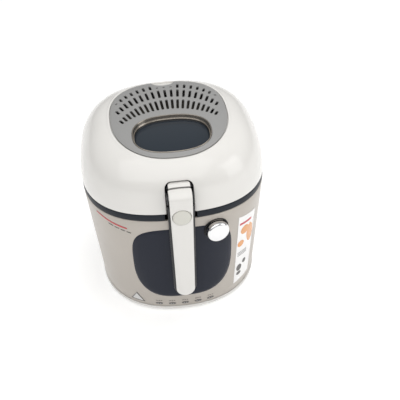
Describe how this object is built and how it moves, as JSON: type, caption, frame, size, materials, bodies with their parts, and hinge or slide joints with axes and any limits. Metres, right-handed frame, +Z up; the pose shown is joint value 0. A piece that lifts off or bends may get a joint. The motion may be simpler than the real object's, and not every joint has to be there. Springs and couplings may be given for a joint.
{
  "type": "deep fryer",
  "caption": "Rounded-square household deep fryer: hinged domed lid with window and lift-off filter cover, folding basket handle, basket that lowers, thermostat knob.",
  "frame": {"origin": "middle of the footprint, on the worktop", "axes": "+Z up, -Y towards the handle and knob (front), +X to the right seen from the front"},
  "size_m": [0.27, 0.3, 0.2936],
  "materials": {
    "white_gloss": "white, glossy",
    "base_white": "white, satin gloss",
    "casing_champagne": "champagne-grey metallic satin",
    "anthracite": "dark anthracite satin",
    "panel_gloss": "dark blue-black gloss",
    "black_plastic": "black satin",
    "rubber": "matte",
    "seal": "soft silicone",
    "print_red": "printed",
    "label_white": "printed film",
    "label_orange": "printed film",
    "print_grey": "printed",
    "print_silver": "printed",
    "nonstick": "speckled non-stick coating",
    "sheet_steel": "pressed sheet",
    "heater_steel": "heat-stained",
    "aluminium": "plain",
    "copper": "copper",
    "ceramic": "glazed",
    "wire_red": "silicone insulation",
    "screw_steel": "zinc plated",
    "smoked_glass": "smoked, clear surface",
    "clear_glass": "clear",
    "frame_metal": "bright anodised, warm tint",
    "cover_grey": "satin silver grey",
    "filter_grey": "open foam and mesh",
    "tinned_wire": "tinned wire",
    "button_grey": "light grey satin",
    "chrome": "mirror bright"
  },
  "bodies": {
    "base": {"base_plate": "base_white", "rubber_feet": "rubber", "outer_casing": "casing_champagne", "rim_ring": "anthracite", "front_panel": "panel_gloss", "knob_bezel": "black_plastic", "accent_stripe": "print_red", "side_label": "label_white", "label_blocks": "label_orange", "guide_marks": "print_grey", "warning_triangle": "print_silver", "bowl": "nonstick", "heat_shield": "sheet_steel", "heating_element": "heater_steel", "heat_spreader": "aluminium", "element_clamp": "sheet_steel", "support_posts": "black_plastic", "thermostat": "black_plastic", "sensor_bulb": "copper", "capillary_tube": "copper", "thermal_fuse": "ceramic", "terminal_block": "ceramic", "internal_wires": "wire_red", "power_inlet": "black_plastic", "base_screws": "screw_steel", "casing_screws": "screw_steel", "hinge_bracket": "anthracite", "hinge_pin": "screw_steel", "hinge_screws": "screw_steel"},
    "lid": {"lid_shell": "white_gloss", "lid_liner": "sheet_steel", "lid_gasket": "seal", "window_glass": "smoked_glass", "window_frame": "frame_metal", "inner_glass": "clear_glass", "filter_tray": "filter_grey", "grease_filter": "filter_grey", "hinge_barrel": "white_gloss", "lid_screws": "screw_steel"},
    "cover": {"filter_cover": "cover_grey"},
    "basket_carrier": {"basket": "tinned_wire", "basket_rim": "tinned_wire", "basket_bracket": "black_plastic", "handle_cap": "white_gloss", "bracket_rivets": "screw_steel", "handle_pivot": "screw_steel"},
    "handle": {"handle_shell": "white_gloss", "handle_core": "black_plastic", "button_spring": "screw_steel"},
    "button": {"handle_button": "button_grey"},
    "knob": {"knob_cap": "chrome", "knob_hub": "black_plastic", "knob_shaft": "screw_steel"}
  },
  "joints": [
    {"name": "lid_hinge", "type": "hinge", "parent": "base", "child": "lid", "pos_m": [0, 0.143, 0.204], "axis": [-1, 0, 0], "range_deg": [0, 82]},
    {"name": "cover_lift", "type": "slide", "parent": "lid", "child": "cover", "axis": [0, 0, 1], "range_m": [0, 0.06]},
    {"name": "basket_slide", "type": "slide", "parent": "base", "child": "basket_carrier", "axis": [0, 0, 1], "range_m": [-0.024, 0]},
    {"name": "handle_fold", "type": "hinge", "parent": "basket_carrier", "child": "handle", "pos_m": [0, -0.138, 0.238], "axis": [-1, 0, 0], "range_deg": [0, 90]},
    {"name": "button_press", "type": "slide", "parent": "handle", "child": "button", "axis": [0, 1, 0], "range_m": [0, 0.003], "stiffness_N_per_m": 500, "springref_m": -0.001, "deforming": ["button_spring"]},
    {"name": "knob_turn", "type": "hinge", "parent": "base", "child": "knob", "pos_m": [0.0485, -0.1293, 0.17], "axis": [0.225, -0.9744, 0], "range_deg": [0, 270]}
  ]
}
